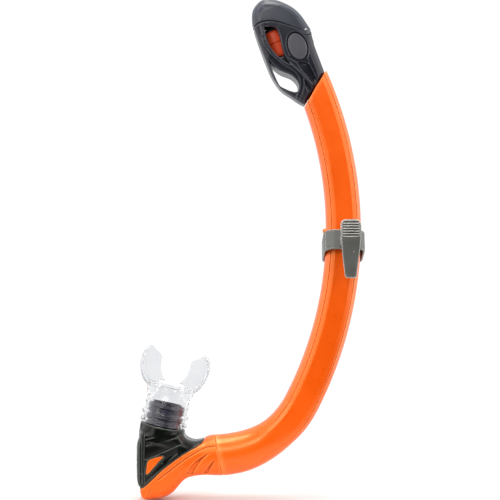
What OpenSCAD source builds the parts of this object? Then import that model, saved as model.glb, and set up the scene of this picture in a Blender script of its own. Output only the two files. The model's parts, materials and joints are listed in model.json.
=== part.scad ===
// Dry-top snorkel: a curved tube with a float valve head, a sprung mask
// clip, a purge elbow and a soft mouthpiece that turns on its neck.
// Millimetres. +Z is up as worn, +X points away from the face, and the
// origin is the centre of the mouth port, on the mouthpiece's turning axis.

/* [Tube] */
// Radius of the long upper arc, at the tube's centre line
upper_arc_r = 329.5; // [326:0.5:333]
// Radius of the tight lower bend, at the tube's centre line
bend_r = 85; // [83:0.5:87]
// Centre of the lower bend, sideways from the mouth port
bend_x = 38.9; // [38:0.1:40]
// Centre of the lower bend, above the mouth port
bend_z = 23.5; // [22.5:0.1:24.5]
// Angle of the tube's upper end on the long arc
tube_top_angle = 22.1; // [21.6:0.1:22.6]
// Angle at which the long arc runs into the lower bend
arc_joint_angle = -27.4; // [-28.4:0.1:-26.4]
// Angle of the tube's lower end on the bend
tube_end_angle = -88.1; // [-89:0.1:-87]
// Slant of the seam at the tube's lower end
lower_seam_slope = 10.5; // [9:0.5:11]
// Width of the tube in the plane of its curve
tube_w = 30.5; // [30:0.5:31]
// Depth of the tube across that plane
tube_d = 28; // [27:0.5:29]
// Width of the tube where it meets the lower shell
tube_end_w = 36; // [35:0.5:36.5]
// Thickness of the tube's wall
tube_wall = 2; // [1.5:0.1:2.2]

/* [Dry top] */
// Lean of the valve head towards the face
head_lean = 21; // [20:0.5:22]
// Depth of the valve head from front to back
head_d = 35; // [34:0.5:36]
// Wall of the cap
cap_wall = 2; // [1.6:0.1:2.4]
// Radius of the float
float_r = 9.6; // [9:0.1:9.8]
// Height of the float
float_h = 24; // [21:0.5:24]
// Distance the float rises to close the valve
float_travel = 5.5; // [4:0.1:5.5]
// Radius of the valve port
port_r = 6; // [5:0.1:6.5]

/* [Mask clip] */
// Width of the collar round the tube, outside
collar_w = 36; // [36:0.5:37]
// Height of the collar's band
collar_h = 18; // [16:0.5:18]
// Thickness of the collar's band
collar_wall = 2; // [1.8:0.1:2]
// Tilt of the collar on the tube
collar_tilt = 19; // [17:0.5:20]
// Place of the collar on the tube's long arc
collar_angle = -2.5; // [-4:0.1:-2.5]
// Sideways place of the lever on the collar
lever_shift = 4; // [3:0.5:5]
// Width of the lever at its ribbed top
lever_w = 17.6; // [17:0.1:18]

/* [Elbow] */
// Lean of the neck away from the face
neck_lean = 12; // [11:0.5:13]
// Outer radius of the swivel ring
ring_r = 16; // [15.8:0.1:16.2]
// Depth of the elbow's casing
elbow_d = 37; // [36:0.5:38]
// Depth of the lower shell
shell_d = 34; // [33.5:0.5:34.5]
// Height of the purge valve's centre
purge_z = -66.5; // [-67:0.5:-66]
// Distance the purge membrane lifts
purge_travel = 1.6; // [1:0.1:1.7]

/* [Mouthpiece] */
// Half width of the mouthpiece's flange
flange_half = 30; // [29:0.1:30.5]
// Height of the flange across the mouth
flange_h = 27; // [24:0.5:28]
// Thickness of the silicone
silicone_t = 2; // [1.6:0.1:2.4]

/* [Hidden] */
$fn = 64;

grey = [0.20, 0.22, 0.27];
black = [0.13, 0.14, 0.13];
orange = [0.95, 0.38, 0.05];
float_red = [0.85, 0.20, 0.10];
clip_grey = [0.36, 0.37, 0.38];
seal_grey = [0.25, 0.25, 0.26];
clear = [0.86, 0.88, 0.90, 0.5];
steel = [0.70, 0.71, 0.72];

eps = 0.1;                     // overrun that keeps cuts clean
far = 200;                     // longer than any piece that is cut
gap = 0.1;                     // clearance between pieces that seat together
move_gap = 0.35;               // clearance between pieces that move

// The long arc's centre lies on the line through the bend's centre, so the
// two arcs share a tangent where they meet.
arc_x = bend_x - (upper_arc_r - bend_r) * cos(arc_joint_angle);
arc_z = bend_z - (upper_arc_r - bend_r) * sin(arc_joint_angle);

// The head's frame starts a little inside the tube's centre line.
head_inset = 1.3;
head_x = arc_x + (upper_arc_r - head_inset) * cos(tube_top_angle);
head_z = arc_z + (upper_arc_r - head_inset) * sin(tube_top_angle);

// ---- helpers ---------------------------------------------------------

// Catmull-Rom point at t between b and c
function cr(a, b, c, d, t) =
    0.5 * (2 * b + (c - a) * t + (2 * a - 5 * b + 4 * c - d) * t * t
        + (3 * b - a - 3 * c + d) * t * t * t);

// Smooth open curve through a list of points
function smooth(p, steps = 4) =
    let (n = len(p))
    concat(
        [for (i = [0 : n - 2], k = [0 : steps - 1])
            cr(p[max(i - 1, 0)], p[i], p[i + 1], p[min(i + 2, n - 1)], k / steps)],
        [p[n - 1]]);

// Open curve moved sideways by d, to the left of its direction
function shifted(p, d) =
    let (n = len(p))
    [for (i = [0 : n - 1])
        let (t = p[min(i + 1, n - 1)] - p[max(i - 1, 0)], s = norm(t))
        p[i] + d * [-t[1], t[0]] / s];

function mirrored(p) = [for (i = [len(p) - 1 : -1 : 0]) [-p[i][0], p[i][1]]];

function oval(a, b, steps = 40) =
    [for (i = [0 : steps - 1]) [a * cos(i * 360 / steps), b * sin(i * 360 / steps)]];

// Places a flat outline upright in the XZ plane, centred on Y
module upright(depth) {
    rotate([90, 0, 0]) linear_extrude(depth, center = true) children();
}

// Rod along Y
module rod_y(r, length) {
    rotate([90, 0, 0]) cylinder(r = r, h = length, center = true);
}

module rounded_rect(w, d, r) {
    square([w - 2 * r, d], center = true);
    square([w, d - 2 * r], center = true);
    for (sx = [-1, 1], sy = [-1, 1])
        translate([sx * (w / 2 - r), sy * (d / 2 - r)]) circle(r = r);
}

module in_head() {
    translate([head_x, 0, head_z]) rotate([0, -head_lean, 0]) children();
}

module in_neck() {
    rotate([0, neck_lean, 0]) children();
}

// ---- tube ------------------------------------------------------------

// Flat front and back faces with bevels to the rounded sides
module tube_section(w, d) {
    polygon([
        [w * 0.5, d * 0.20], [w * 0.44, d * 0.33], [w * 0.31, d * 0.5],
        [-w * 0.31, d * 0.5], [-w * 0.44, d * 0.33], [-w * 0.5, d * 0.20],
        [-w * 0.5, -d * 0.20], [-w * 0.44, -d * 0.33], [-w * 0.31, -d * 0.5],
        [w * 0.31, -d * 0.5], [w * 0.44, -d * 0.33], [w * 0.5, -d * 0.20]
    ]);
}

module arc_sweep(r, from, to, w, d) {
    rotate([90, 0, 0]) rotate([0, 0, from])
        rotate_extrude(angle = to - from, $fn = 180)
            translate([r, 0]) tube_section(w, d);
}

// The long arc runs a little way into the bend, which is wider, so the two
// meet in one clean step.
arc_overlap = 0.3;
module upper_arc(to, w, d) {
    translate([arc_x, 0, arc_z])
        arc_sweep(upper_arc_r, arc_joint_angle - arc_overlap, to, w, d);
}

module lower_bend(from, to, w, d) {
    translate([bend_x, 0, bend_z]) arc_sweep(bend_r, from, to, w, d);
}

// The bend widens towards the lower shell in steps too fine to feel, each a
// little wider than the long arc and overlapping the one before it.
bend_steps = 8;
widen_from = -50;
widen_to = -78;
first_step = 0.2;
module widening_bend() {
    step = (widen_from - widen_to) / bend_steps;
    for (i = [0 : bend_steps]) {
        grow = first_step + (tube_end_w - tube_w - first_step) * i / bend_steps;
        lower_bend(
            i == bend_steps ? tube_end_angle - 5 : widen_from - step * i,
            i == 0 ? arc_joint_angle : widen_from - step * (i - 1) + arc_overlap,
            tube_w + grow, tube_d + grow);
    }
}

// Everything above the slanted line where the head's sleeve meets the tube
seam_slope = 37;
module above_seam(drop = 0) {
    in_head() rotate([0, -seam_slope, 0])
        translate([-far / 2, -far / 2, -drop]) cube([far, far, far]);
}

spigot_x = 2;                  // the upper spigot is nearer the outer wall
spigot_r = 9.9;
spigot_bore_r = 7.8;
spigot_top = 24;
o_ring_r = 0.62;
top_seal_v = 18;

end_spigot_r = 11.9;
end_spigot_bore_r = 10;
end_spigot_l = 16;
end_seal_at = 9;
duct_slope = 5.5;

// Stands at the tube's lower end with +Z towards the elbow, sloping down
module at_tube_end(slope = duct_slope) {
    translate([bend_x + bend_r * cos(tube_end_angle), 0,
            bend_z + bend_r * sin(tube_end_angle)])
        rotate([0, 270 - slope, 0]) children();
}

// Everything on the elbow's side of the lower seam, or on the tube's side
module past_lower_seam() {
    at_tube_end(lower_seam_slope) translate([-far / 2, -far / 2, 0]) cube(far);
}
module before_lower_seam() {
    at_tube_end(lower_seam_slope) translate([-far / 2, -far / 2, gap - far]) cube(far);
}

module main_tube() {
    color(orange) difference() {
        union() {
            difference() {
                upper_arc(tube_top_angle + 4, tube_w, tube_d);
                above_seam();
            }
            difference() {
                widening_bend();
                past_lower_seam();
            }
            in_head() translate([spigot_x, 0, -8])
                cylinder(r = spigot_r, h = spigot_top + 8);
            at_tube_end() translate([0, 0, -4])
                cylinder(r = end_spigot_r, h = end_spigot_l + 4);
            stop_peg();
        }
        difference() {
            upper_arc(tube_top_angle + 4, tube_w - 2 * tube_wall, tube_d - 2 * tube_wall);
            above_seam(3);
        }
        lower_bend(tube_end_angle + 3, arc_joint_angle,
            tube_w - 2 * tube_wall + 0.4, tube_d - 2 * tube_wall + 0.4);
        in_head() translate([spigot_x, 0, -12])
            cylinder(r = spigot_bore_r, h = spigot_top + 12 + eps);
        at_tube_end() translate([0, 0, -6])
            cylinder(r = end_spigot_bore_r, h = end_spigot_l + 6 + eps);
        in_head() translate([spigot_x, 0, top_seal_v])
            ring(spigot_r + eps, spigot_r - 2 * o_ring_r + 0.02, 2 * o_ring_r + 0.1);
        at_tube_end() translate([0, 0, end_seal_at])
            ring(end_spigot_r + eps, end_spigot_r - 2 * o_ring_r + 0.02, 2 * o_ring_r + 0.1);
    }
}

// Flat-sided ring centred on its own plane
module ring(outer, inner, h) {
    difference() {
        cylinder(r = outer, h = h, center = true);
        cylinder(r = inner, h = h + 1, center = true);
    }
}

module o_ring(r) {
    rotate_extrude() translate([r, 0]) circle(r = o_ring_r, $fn = 24);
}

// Peg on the tube's inner side that keeps the clip from riding up
peg_angle = -0.1;
module stop_peg() {
    translate([arc_x, 0, arc_z]) rotate([0, -peg_angle, 0])
        translate([upper_arc_r - tube_w / 2 + 0.5, 0, 0])
            rotate([0, -90, 0]) cylinder(r = 2, h = 3);
}

module top_joint_seal() {
    color(seal_grey) in_head() translate([spigot_x, 0, top_seal_v])
        o_ring(spigot_r - o_ring_r + 0.06);
}

module lower_joint_seal() {
    color(seal_grey) at_tube_end() translate([0, 0, end_seal_at])
        o_ring(end_spigot_r - o_ring_r + 0.05);
}

// ---- dry top ---------------------------------------------------------

// Outline of the whole head in its leaning frame, from the sleeve's inner
// end round the cage and the dome to the sleeve's outer end
head_outline = smooth([
    [-13.6, -9.9], [-17.5, -5.2], [-21.6, 0.8], [-28, 10.3], [-31.1, 22],
    [-31.8, 35], [-31.8, 49], [-31.4, 62.5], [-30.2, 74.5], [-26.5, 83.2],
    [-19.8, 88], [-13, 89.1], [-6, 86.2], [0.4, 81], [7, 73.3], [11, 65.2],
    [13.1, 57.3], [14.7, 48.8], [13.9, 43], [13.1, 35], [13.1, 23], [13.2, 9.6]
], 3);

// Half of the head's outline seen from the mouth's side
head_side = smooth([
    [head_d * 0.40, -14], [head_d * 0.41, 5], [head_d * 0.46, 20],
    [head_d * 0.50, 40], [head_d * 0.50, 60], [head_d * 0.46, 74],
    [head_d * 0.33, 84], [head_d * 0.15, 89], [0, 90.2]
], 3);

// Line of the seam between the cage and the cap
seam_line = smooth([
    [-36, 67.4], [-31.5, 68.6], [-27, 69.8], [-21, 69.6], [-14.6, 67.6], [-7.7, 63.5],
    [-0.8, 57.8], [5.1, 52.6], [9.5, 49.5], [16, 48.6], [30, 46.5]
], 3);

cap_pin = [10.3, 50];
knuckle_r = 4.3;
knuckle_half = 9;
cap_pin_r = 1.5;

module head_solid(inset = 0) {
    intersection() {
        upright(far) polygon(shifted(head_outline, -inset));
        rotate([90, 0, 90]) linear_extrude(far, center = true)
            polygon(concat(shifted(head_side, inset), mirrored(shifted(head_side, inset))));
        translate([-8.5, 0, -20]) linear_extrude(130)
            rounded_rect(46.8 - 2 * inset, head_d - 2 * inset, 11);
    }
}

// Everything above the seam, raised by lift
module cap_region(lift = 0) {
    upright(far) translate([0, lift])
        polygon(concat(seam_line, [[60, 40], [60, 130], [-60, 130], [-60, 66]]));
}

module at_cap_pin() {
    translate([cap_pin[0], 0, cap_pin[1]]) children();
}

chamber_x = -16.2;             // the float's chamber, left of the air duct
chamber_r = 10.2;
chamber_floor = 36.9;
chamber_wall = 0.8;
web_half = 11.8;
plate_v = 69.5;
duct_left = -4;
duct_right = 8.4;
duct_half = 11;
disc_half = [8, 11.8];
disc_at = [-1.7, 39.2];
disc_face = 15.2;

upper_window = smooth([
    [-18.5, 64.6], [-21.9, 66.1], [-24, 58.2], [-24.2, 48.4], [-21.9, 40],
    [-17.7, 32.2], [-13.4, 27.3], [-15, 34.6], [-14.6, 43.5], [-13.2, 53.3],
    [-13.6, 60.2], [-18.5, 64.6]
], 3);
lower_window = smooth([
    [-29.2, 37.6], [-27.3, 31.9], [-22.5, 24.4], [-15.6, 17.9], [-12.5, 11],
    [-13.2, 5.6], [-16, 2.8], [-20.5, 5.1], [-24.6, 9.1], [-27.5, 12.8],
    [-28.5, 17], [-29.1, 24.8], [-29.2, 37.6]
], 3);

module dry_top_body() {
    color(grey) in_head() difference() {
        union() {
            difference() {
                head_solid();
                cap_region(-gap);
                at_cap_pin() rod_y(knuckle_r + 2 * move_gap, far);
            }
            intersection() {
                head_solid();
                at_cap_pin() union() {
                    rod_y(knuckle_r, 2 * knuckle_half);
                    translate([-1, -knuckle_half, -12]) cube([5, 2 * knuckle_half, 12]);
                }
            }
            // upstand round the chamber, which carries the port plate
            translate([chamber_x, 0, 58])
                cylinder(r = chamber_r + chamber_wall, h = plate_v - 58 - gap);
        }
        // space below the slanted joint with the tube
        rotate([0, -seam_slope, 0])
            translate([-far / 2, -far / 2, -far + gap]) cube([far, far, far]);
        translate([spigot_x, 0, -far / 2]) cylinder(r = spigot_r + gap, h = far / 2 + spigot_top + 1);
        // air duct up the outer side
        translate([(duct_left + duct_right) / 2, 0, 20])
            linear_extrude(44) rounded_rect(duct_right - duct_left, 2 * duct_half, 3);
        translate([chamber_x, 0, chamber_floor]) cylinder(r = chamber_r, h = 60);
        translate([chamber_x, 0, plate_v - gap]) cylinder(r = chamber_r + chamber_wall, h = 20);
        // the window stays shallow below the chamber, in front of a solid web
        difference() {
            upright(far) polygon(upper_window);
            translate([-40, -web_half, 0]) cube([60, 2 * web_half, chamber_floor - 1]);
        }
        upright(far) polygon(lower_window);
        at_cap_pin() rod_y(cap_pin_r, far);
        for (s = [-1, 1]) side_disc_space(s, gap, 4);
    }
}

// Stands on the recess for a side disc, with +Z pointing out
module side_disc_space(side, grow, h) {
    translate([disc_at[0], side * disc_face, disc_at[1]])
        rotate([-side * 90, 0, 0]) linear_extrude(h)
            polygon(oval(disc_half[0] + grow, disc_half[1] + grow));
}

module side_disc(side) {
    color(grey) in_head() translate([0, side * gap / 2, 0]) side_disc_space(side, 0, 1.3);
}
module side_disc_front() { side_disc(-1); }
module side_disc_back() { side_disc(1); }

module dry_top_cap() {
    color(grey) in_head() difference() {
        intersection() {
            head_solid();
            union() {
                cap_region(gap);
                at_cap_pin() rod_y(knuckle_r, far);
            }
        }
        intersection() {
            head_solid(cap_wall);
            translate([-60, -far / 2, 40]) cube([120, far, 80]);
        }
        at_cap_pin() rod_y(knuckle_r + 2 * move_gap, 2 * (knuckle_half + move_gap));
        at_cap_pin() rod_y(cap_pin_r + 0.05, far);
    }
}

module cap_hinge_pin() {
    color(steel) in_head() at_cap_pin() rod_y(cap_pin_r - 0.02, 33.6);
}

module port_plate() {
    color(grey) in_head() difference() {
        translate([chamber_x, 0, plate_v]) union() {
            cylinder(r = chamber_r + chamber_wall - gap, h = 2);
            translate([0, 0, -0.9]) cylinder(r = port_r + 1.2, h = 1);
        }
        translate([chamber_x, 0, plate_v - 5]) cylinder(r = port_r, h = 10);
    }
}

float_bottom = chamber_floor + 0.1;
module float() {
    color(float_red) in_head() translate([chamber_x, 0, float_bottom]) difference() {
        union() {
            cylinder(r1 = float_r - 2, r2 = float_r, h = 2);
            translate([0, 0, 2]) cylinder(r = float_r, h = float_h - 4);
            translate([0, 0, float_h - 2]) cylinder(r1 = float_r, r2 = float_r - 1, h = 2);
        }
        translate([0, 0, float_h - 3]) cylinder(r = 2, h = 4);
    }
}

seal_h = plate_v - 0.9 - float_travel - float_bottom - float_h - 0.05;
module float_seal() {
    color(seal_grey) in_head() translate([chamber_x, 0, float_bottom + float_h]) union() {
        translate([0, 0, 0.02]) cylinder(r = float_r - 1.4, h = seal_h);
        translate([0, 0, -2.8]) cylinder(r = 1.95, h = 3.5);
    }
}

// ---- mask clip -------------------------------------------------------

collar_x = arc_x + upper_arc_r * cos(collar_angle);
collar_z = arc_z + upper_arc_r * sin(collar_angle);
collar_depth = 42;
pivot_y = -25.5;               // lever pivot, in front of the collar
pivot_z = 6;
pivot_r = 1.3;
ear_half = 6.4;                // the lever's ears stand inside the collar's
lever_x = collar_x + lever_shift;

module clip_collar() {
    color(clip_grey) difference() {
        union() {
            translate([collar_x, 0, collar_z]) rotate([-collar_tilt, 0, 0])
                linear_extrude(collar_h, center = true)
                    rounded_rect(collar_w, collar_depth, 9);
            for (s = [-1, 1])
                translate([lever_x + s * (ear_half + 1), pivot_y, collar_z + pivot_z])
                    collar_ear();
        }
        translate([collar_x, 0, collar_z]) rotate([-collar_tilt, 0, 0])
            linear_extrude(collar_h + 2, center = true)
                rounded_rect(collar_w - 2 * collar_wall, collar_depth - 2 * collar_wall, 7);
        translate([lever_x, pivot_y, collar_z + pivot_z]) rotate([0, 90, 0])
            cylinder(r = pivot_r, h = 30, center = true);
    }
}

// Ear that carries the lever's pin, run back into the band
module collar_ear() {
    rotate([0, 90, 0]) cylinder(r = 3, h = 2, center = true);
    translate([-1, 0, -3]) cube([2, 8, 6]);
}

// Side view of the lever about its pivot: y out from the tube, z up
lever_back = smooth([
    [1, 17.4], [-0.6, 12], [-1.8, 5], [-2, -2], [-1, -9], [0.4, -17.4], [0.9, -26],
    [0.2, -33.3]
], 3);
module lever_profile() {
    polygon(concat(lever_back, [for (i = [len(lever_back) - 1 : -1 : 0])
        lever_back[i] + [-2.6, 0]]));
}

lever_front = smooth([
    [8.8, 17.4], [8.8, 10.8], [8.8, 7.4], [8.2, -0.3], [6.8, -8.9], [6.1, -17.4],
    [5.2, -28.5], [5.6, -33.3]
], 3);
module lever_outline() {
    polygon(concat(mirrored(lever_front), lever_front));
}

module clip_lever() {
    color(clip_grey) translate([lever_x, pivot_y, collar_z + pivot_z]) difference() {
        union() {
            intersection() {
                translate([0, -1.6, 0]) rotate([90, 0, 90])
                    linear_extrude(30, center = true) lever_profile();
                scale([lever_w / 17.6, 1, 1]) upright(far) lever_outline();
            }
            for (i = [0 : 5]) lever_rib(3.9 + 2.24 * i);
            for (s = [-1, 1]) translate([s * (ear_half - 1.3), 0, 0]) {
                rotate([0, 90, 0]) cylinder(r = 2.8, h = 1.6, center = true);
                translate([-0.8, -3.6, -2.8]) cube([1.6, 3.6, 5.6]);
            }
        }
        rotate([0, 90, 0]) cylinder(r = pivot_r + 0.05, h = 30, center = true);
    }
}

// One of the finger ribs across the lever's top, which leans back
module lever_rib(rib_z) {
    translate([0, 0.2 * rib_z - 6.6, rib_z]) rotate([0, 90, 0])
        cylinder(r = 0.9, h = lever_w - 3.6, center = true, $fn = 24);
}

module clip_lever_pin() {
    color(steel) translate([lever_x, pivot_y, collar_z + pivot_z]) rotate([0, 90, 0])
        cylinder(r = pivot_r - 0.01, h = 2 * ear_half + 4, center = true);
}

// Torsion spring: a close coil round the pin with a leg on the band
module clip_spring() {
    color(steel) translate([lever_x, pivot_y, collar_z + pivot_z]) {
        rotate([0, 90, 0]) difference() {
            cylinder(r = 2.3, h = 7, center = true);
            cylinder(r = 1.5, h = 8, center = true);
        }
        translate([2.7, 1.9, -5]) cylinder(r = 0.4, h = 5, $fn = 16);
    }
}

// ---- elbow and lower shell -------------------------------------------

// Line between the black casing above and the orange shell below
shell_line = smooth([
    [29.6, -46.2], [28.2, -48.8], [24.4, -51.7], [10.6, -58.9], [-5.9, -71.1],
    [-18.1, -82.7], [-22.6, -86.8], [-26.8, -89]
], 3);
elbow_top = smooth([
    [-26.8, -42.6], [-23.4, -37.8], [0, -37.6], [10, -39.9], [12, -44],
    [15, -46.8], [20.4, -48.3], [25.8, -47.6], [29.6, -46.2]
], 3);
shell_bottom = smooth([
    [-26.8, -89], [-26.6, -92], [-24.6, -97.9], [-18.3, -99.2], [-9.4, -98.3],
    [-3.4, -96.2], [2, -92.6], [6.5, -87.6], [11.4, -82.3], [16.9, -79.6],
    [27.3, -78.4], [48, -79.4]
], 3);
shell_top = smooth([[43, -42.8], [38.4, -43.4], [33, -44.6], [29.6, -46.2]], 3);

face_x = -26.8;                // the casing's face, under the purge cover
neck_base = -36;               // top of the elbow's collar, along the neck
neck_top = -20;                // end of the stub that the swivel ring turns on
neck_rim = -16.7;              // mouth end of the swivel ring
stub_r = 13.55;
neck_bore_r = 11.8;
core_r = 14.5;                 // casing round the air chamber, under the shell
duct_start = 2;                // start of the casing round the duct
chamber_bore_r = 12.5;
purge_r = 13;

module neck_tube(r, from, to) {
    in_neck() translate([0, 0, from]) cylinder(r = r, h = to - from);
}

// Casing and duct outside, grown by the clearance that a cover needs
module core(grow = 0) {
    translate([face_x, 0, purge_z]) rotate([0, 90, 0])
        cylinder(r = core_r + grow, h = 33.5 + grow);
    at_tube_end() translate([0, 0, duct_start - grow])
        cylinder(r = end_spigot_r + gap + 2 + grow, h = 36 + 2 * grow);
}

module elbow_outer(depth, low_depth) {
    rotate([90, 0, 90]) linear_extrude(far, center = true)
        polygon([[-depth / 2, -30], [-depth / 2, -62], [-low_depth / 2, -84],
            [-low_depth / 2 + 8, -104], [low_depth / 2 - 8, -104], [low_depth / 2, -84],
            [depth / 2, -62], [depth / 2, -30]]);
}

module elbow_body() {
    color(black) difference() {
        union() {
            intersection() {
                upright(far) polygon(concat(elbow_top, shell_line));
                elbow_outer(elbow_d, shell_d);
            }
            intersection() {
                core();
                translate([face_x, -far / 2, -far]) cube([far, far, 2 * far]);
            }
            neck_tube(19.7, -46, neck_base);
            neck_tube(stub_r, -46, neck_top);
            neck_tube(stub_r + 0.8, neck_top - 1.7, neck_top);
        }
        neck_tube(neck_bore_r, -52, -10);
        translate([-24, 0, purge_z]) rotate([0, 90, 0])
            cylinder(r = chamber_bore_r, h = 28);
        translate([-40, 0, purge_z]) rotate([0, 90, 0]) cylinder(r = purge_r, h = 20);
        // way up from the chamber into the neck
        in_neck() translate([0, 0, -66]) cylinder(r = 11.5, h = 20);
        at_tube_end() translate([0, 0, -1]) cylinder(r = end_spigot_r + gap, h = end_spigot_l + 2);
        at_tube_end() cylinder(r = end_spigot_bore_r, h = 46);
        for (s = [-1, 1]) inlay_space(s, gap, 4);
    }
}

inlay_face = 17.4;
inlay_points = [[-19.7, -75.1], [-19.8, -67.3], [-18.1, -63], [-11.4, -60.3], [-5.7, -60.5]];
module inlay_space(side, grow, h) {
    translate([0, side * (inlay_face + h / 2), 0]) upright(h)
        polygon(concat([inlay_points[0] + [-grow, -2 * grow]],
            [for (i = [1 : 3]) inlay_points[i] + [-grow, grow]],
            [inlay_points[4] + [2 * grow, 0]]));
}
module inlay(side) {
    color(orange) translate([0, side * 0.02, 0]) inlay_space(side, 0, 0.9);
}
module inlay_front() { inlay(-1); }
module inlay_back() { inlay(1); }

module lower_shell() {
    color(orange) difference() {
        intersection() {
            upright(far) polygon(concat(shifted(shell_line, gap), shell_bottom, shell_top));
            elbow_outer(shell_d + 3, shell_d);
            // the shell is round where it meets the tube
            union() {
                at_tube_end() translate([0, 0, 0.1]) cylinder(r = tube_end_w / 2, h = far);
                translate([-60, -far / 2, -140]) cube([85, far, 140]);
            }
        }
        before_lower_seam();
        core(gap);
        at_tube_end() translate([0, 0, -3]) cylinder(r = end_spigot_r + gap, h = 3 + duct_start);
        // hollow under the casing
        intersection() {
            upright(shell_d - 6) polygon(concat(
                shifted(shell_line, 2), shifted(shell_bottom, 2.2)));
            translate([-24, -far / 2, -140]) cube([34, far, 140]);
        }
    }
}

seat_x = -25.5;
seat_t = 2.2;
module purge_seat() {
    color(black) translate([seat_x, 0, purge_z]) rotate([0, 90, 0]) difference() {
        cylinder(r = purge_r - gap, h = seat_t);
        difference() {
            translate([0, 0, -eps]) cylinder(r = 10.2, h = 3);
            cylinder(r = 3, h = 3);
            for (a = [0, 90]) rotate([0, 0, a])
                translate([-11, -0.9, -1]) cube([22, 1.8, 5]);
        }
        translate([0, 0, -1]) cylinder(r = 1.5, h = 5);
    }
}

// Flap with a barbed stem that lets it lift by purge_travel
module purge_membrane() {
    stem = seat_t + purge_travel + move_gap;
    color(seal_grey) translate([seat_x - 0.05, 0, purge_z]) rotate([0, -90, 0]) union() {
        cylinder(r = 12, h = 0.8);
        translate([0, 0, -stem - 1]) cylinder(r = 1.42, h = stem + 1.2);
        translate([0, 0, -stem - 1.4]) cylinder(r1 = 1.2, r2 = 2.4, h = 1.4);
    }
}

cover_t = 1.2;
cover_base_t = 2.7;
cover_h = 42.4;
cover_w = 33;
module purge_cover() {
    color(black) translate([face_x - gap, 0, purge_z]) rotate([0, -90, 0]) difference() {
        linear_extrude(cover_base_t) rounded_rect(cover_h, cover_w, 12);
        translate([0, 0, -1]) cylinder(r = purge_r + 0.5, h = 1 + cover_base_t - cover_t);
        for (i = [-3 : 3])
            translate([i * 4, 0, 0]) linear_extrude(20, center = true)
                rounded_rect(2, 20 - abs(i) * 3, 0.9);
    }
}

// ---- mouthpiece ------------------------------------------------------

// Ring that carries the silicone and turns on the elbow's neck
module swivel_ring() {
    color(grey) in_neck() difference() {
        union() {
            translate([0, 0, neck_base + 0.3]) cylinder(r = ring_r, h = neck_rim - neck_base - 0.3);
            rotate([0, 0, -50]) translate([ring_r - 0.9, 0, neck_rim - 4.5])
                cube([1.6, 1.6, 3], center = true);
        }
        translate([0, 0, neck_base]) cylinder(r = stub_r + 0.05, h = far);
        // pocket for the snap bead on the neck
        translate([0, 0, neck_top - 2]) cylinder(r = stub_r + 1, h = 3.3);
    }
}

flange_outer = smooth([
    [0, -3.5], [12, -3], [20.3, -1.5], [24.4, 2], [27.9, 8.2],
    [flange_half, 15.2], [flange_half - 0.3, 21.5], [27, 26.6], [24.6, 29]
], 3);
tab_inner = smooth([
    [24.6, 29], [21.2, 29.4], [19.4, 27.6], [14.6, 24.8], [12.8, 22], [12.8, 18],
    [12.2, 13.4], [10.6, 8.8], [8, 4.6], [4, -0.4]
], 3);

module flange_band() {
    upright(flange_h) for (m = [0, 1]) mirror([m, 0])
        polygon(concat(flange_outer,
            [for (i = [len(flange_outer) - 1 : -1 : 0]) shifted(flange_outer, silicone_t)[i]]));
}

// Funnel from the round sleeve to the wide, low flange
module funnel(inset) {
    intersection() {
        translate([0, 0, -14]) cylinder(r1 = 18.7 - inset, r2 = 20.6 - inset, h = 12.5);
        rotate([90, 0, 90]) linear_extrude(far, center = true)
            polygon([[-18.7 + inset, -14], [18.7 - inset, -14],
                [flange_h / 2 - inset, -2], [flange_h / 2 - inset, 0],
                [-flange_h / 2 + inset, 0], [-flange_h / 2 + inset, -2]]);
    }
}

module bite_tabs() {
    upright(4) for (m = [0, 1]) mirror([m, 0])
        polygon(concat([for (i = [3 : len(flange_outer) - 1]) flange_outer[i]], tab_inner));
}

module mouthpiece() {
    color(clear) in_neck() difference() {
        union() {
            translate([0, 0, -35]) cylinder(r = 18.7, h = 22);
            funnel(0);
            for (w = [-26, -32.7]) translate([0, 0, w])
                rotate_extrude() translate([18.8, 0]) circle(r = 1.9, $fn = 32);
            flange_band();
            bite_tabs();
        }
        translate([0, 0, -36]) cylinder(r = ring_r + 0.05, h = 36 - 16.5);
        rotate([0, 0, -50]) translate([ring_r - 0.9, 0, neck_rim - 4.5])
            cube([1.8, 1.8, 3.2], center = true);
        translate([0, 0, -17]) cylinder(r1 = 15, r2 = 9.5, h = 11);
        translate([0, 0, -8]) cylinder(r = 9.5, h = 11);
    }
}

// ---- drawing ---------------------------------------------------------

dry_top_body();
dry_top_cap();
cap_hinge_pin();
port_plate();
float();
float_seal();
side_disc_front();
side_disc_back();
top_joint_seal();
main_tube();
clip_collar();
clip_lever();
clip_lever_pin();
clip_spring();
lower_shell();
lower_joint_seal();
elbow_body();
inlay_front();
inlay_back();
purge_seat();
purge_membrane();
purge_cover();
swivel_ring();
mouthpiece();
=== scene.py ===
"""Looks for the dry-top snorkel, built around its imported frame.

Shapes are worked out in millimetres, in the frame of the joint or part they
belong to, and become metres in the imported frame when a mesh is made. Organic
mouldings are fields of distance, meshed with OpenVDB; the tube and the turned
pieces are lofted from rings.
"""
import json
import math

import bpy
import numpy as np
import openvdb
from mathutils import Matrix, Vector


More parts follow.
